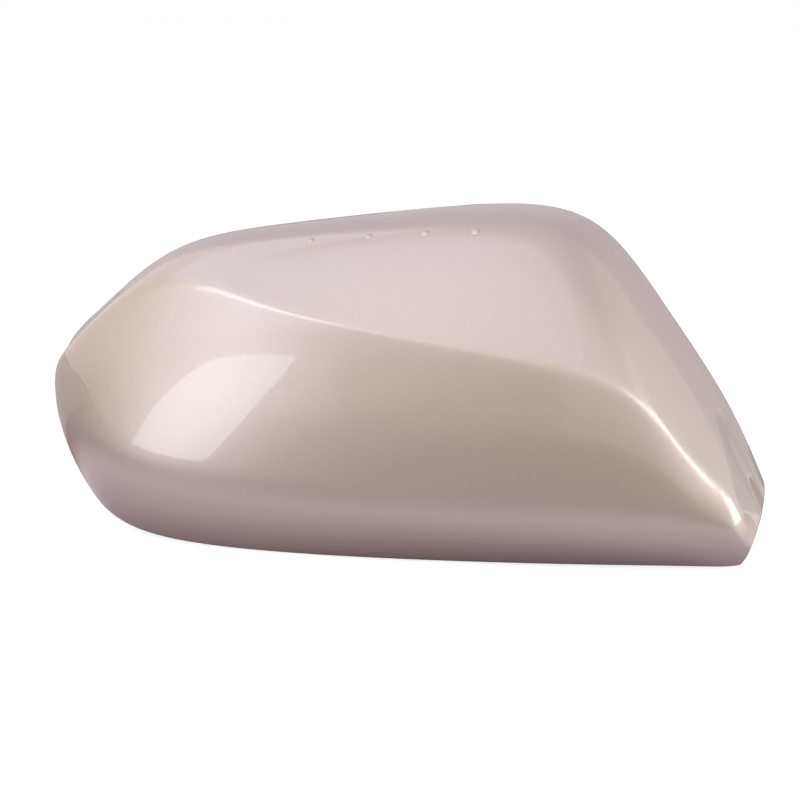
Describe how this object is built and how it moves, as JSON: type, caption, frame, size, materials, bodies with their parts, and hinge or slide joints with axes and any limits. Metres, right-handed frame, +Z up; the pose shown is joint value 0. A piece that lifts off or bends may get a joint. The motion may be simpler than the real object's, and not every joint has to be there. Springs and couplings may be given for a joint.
{
  "type": "wing mirror cover",
  "caption": "Thin moulded shell that snaps over the front of a car's wing mirror housing, with a fading crease, small raised pips, snap hooks and locating pins.",
  "frame": {"origin": "below the middle of the part's box, on the level of the underside", "axes": "+X towards the car, +Y towards the rear rim and the mirror housing, +Z up as it sits on the car"},
  "size_m": [0.2626, 0.0802, 0.117],
  "materials": {
    "paint": "metallic base coat under clear coat, outside; bare moulding inside"
  },
  "bodies": {
    "root": {"mirror_cover": "paint"}
  },
  "joints": []
}
